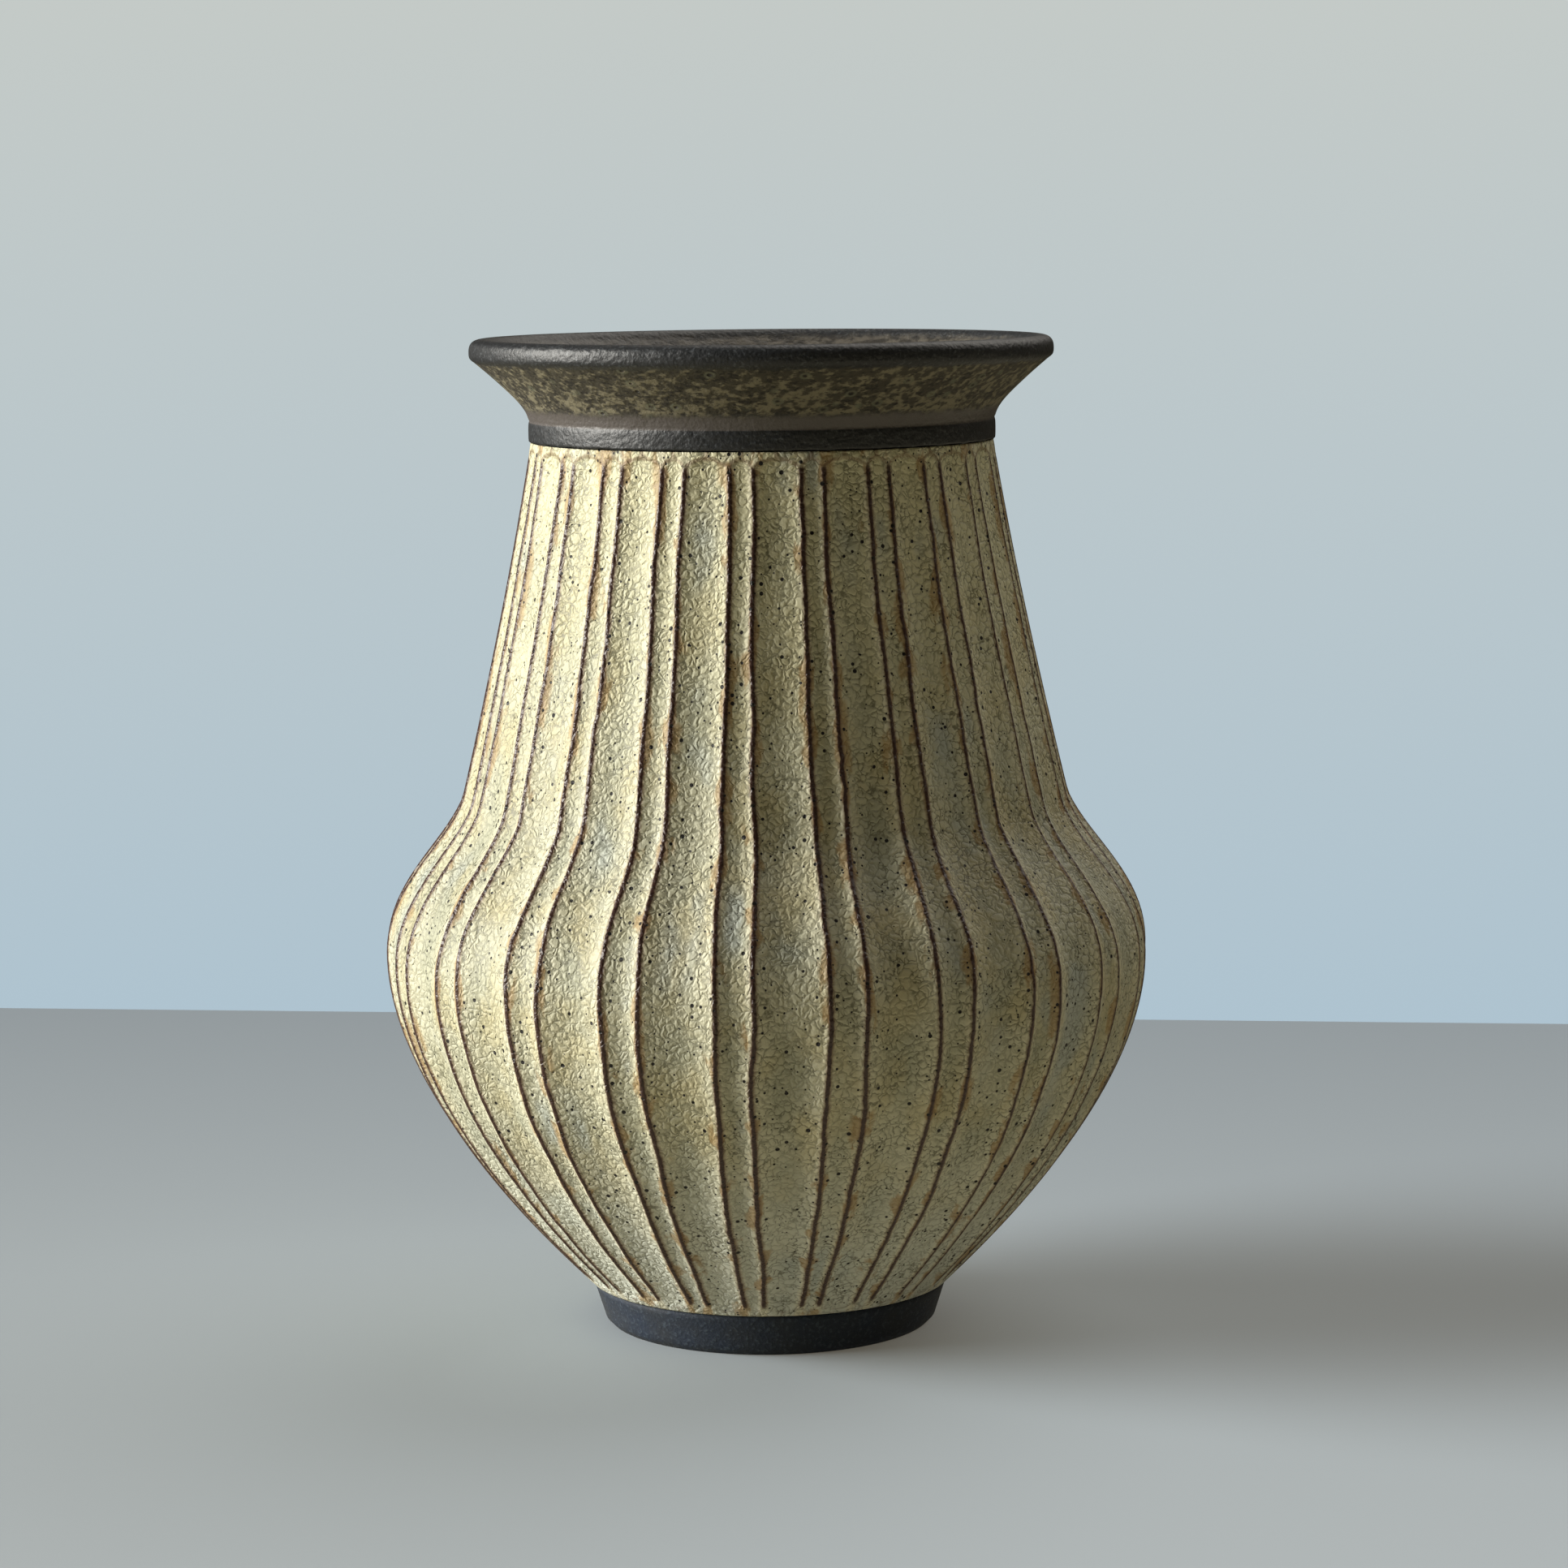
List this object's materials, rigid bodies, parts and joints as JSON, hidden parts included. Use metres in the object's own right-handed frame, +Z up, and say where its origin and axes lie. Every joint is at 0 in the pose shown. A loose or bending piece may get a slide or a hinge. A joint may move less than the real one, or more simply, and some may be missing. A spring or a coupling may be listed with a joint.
{
  "type": "vase",
  "caption": "Stoneware vase with a flared dark rim, a cone-shaped neck and a round belly carved with upright flutes under matte cream glaze, on a bare dark foot.",
  "frame": {"origin": "on the axis of turning, at the level of the surface the foot stands on", "axes": "+Z up along the axis of turning; -Y towards the viewer of the side the picture shows"},
  "size_m": [0.1754, 0.1752, 0.228],
  "materials": {
    "bare_clay": "matte",
    "clay_body": "matte",
    "cream_matte_glaze": "satin",
    "dark_satin_glaze": "satin",
    "liner_glaze": "satin"
  },
  "bodies": {
    "root": {"turned_foot": "bare_clay", "lower_wall": "clay_body", "neck_wall": "clay_body", "collar_band": "clay_body", "flared_rim": "clay_body", "cream_glaze": "cream_matte_glaze", "rim_glaze": "dark_satin_glaze", "liner_glaze": "liner_glaze"}
  },
  "joints": []
}
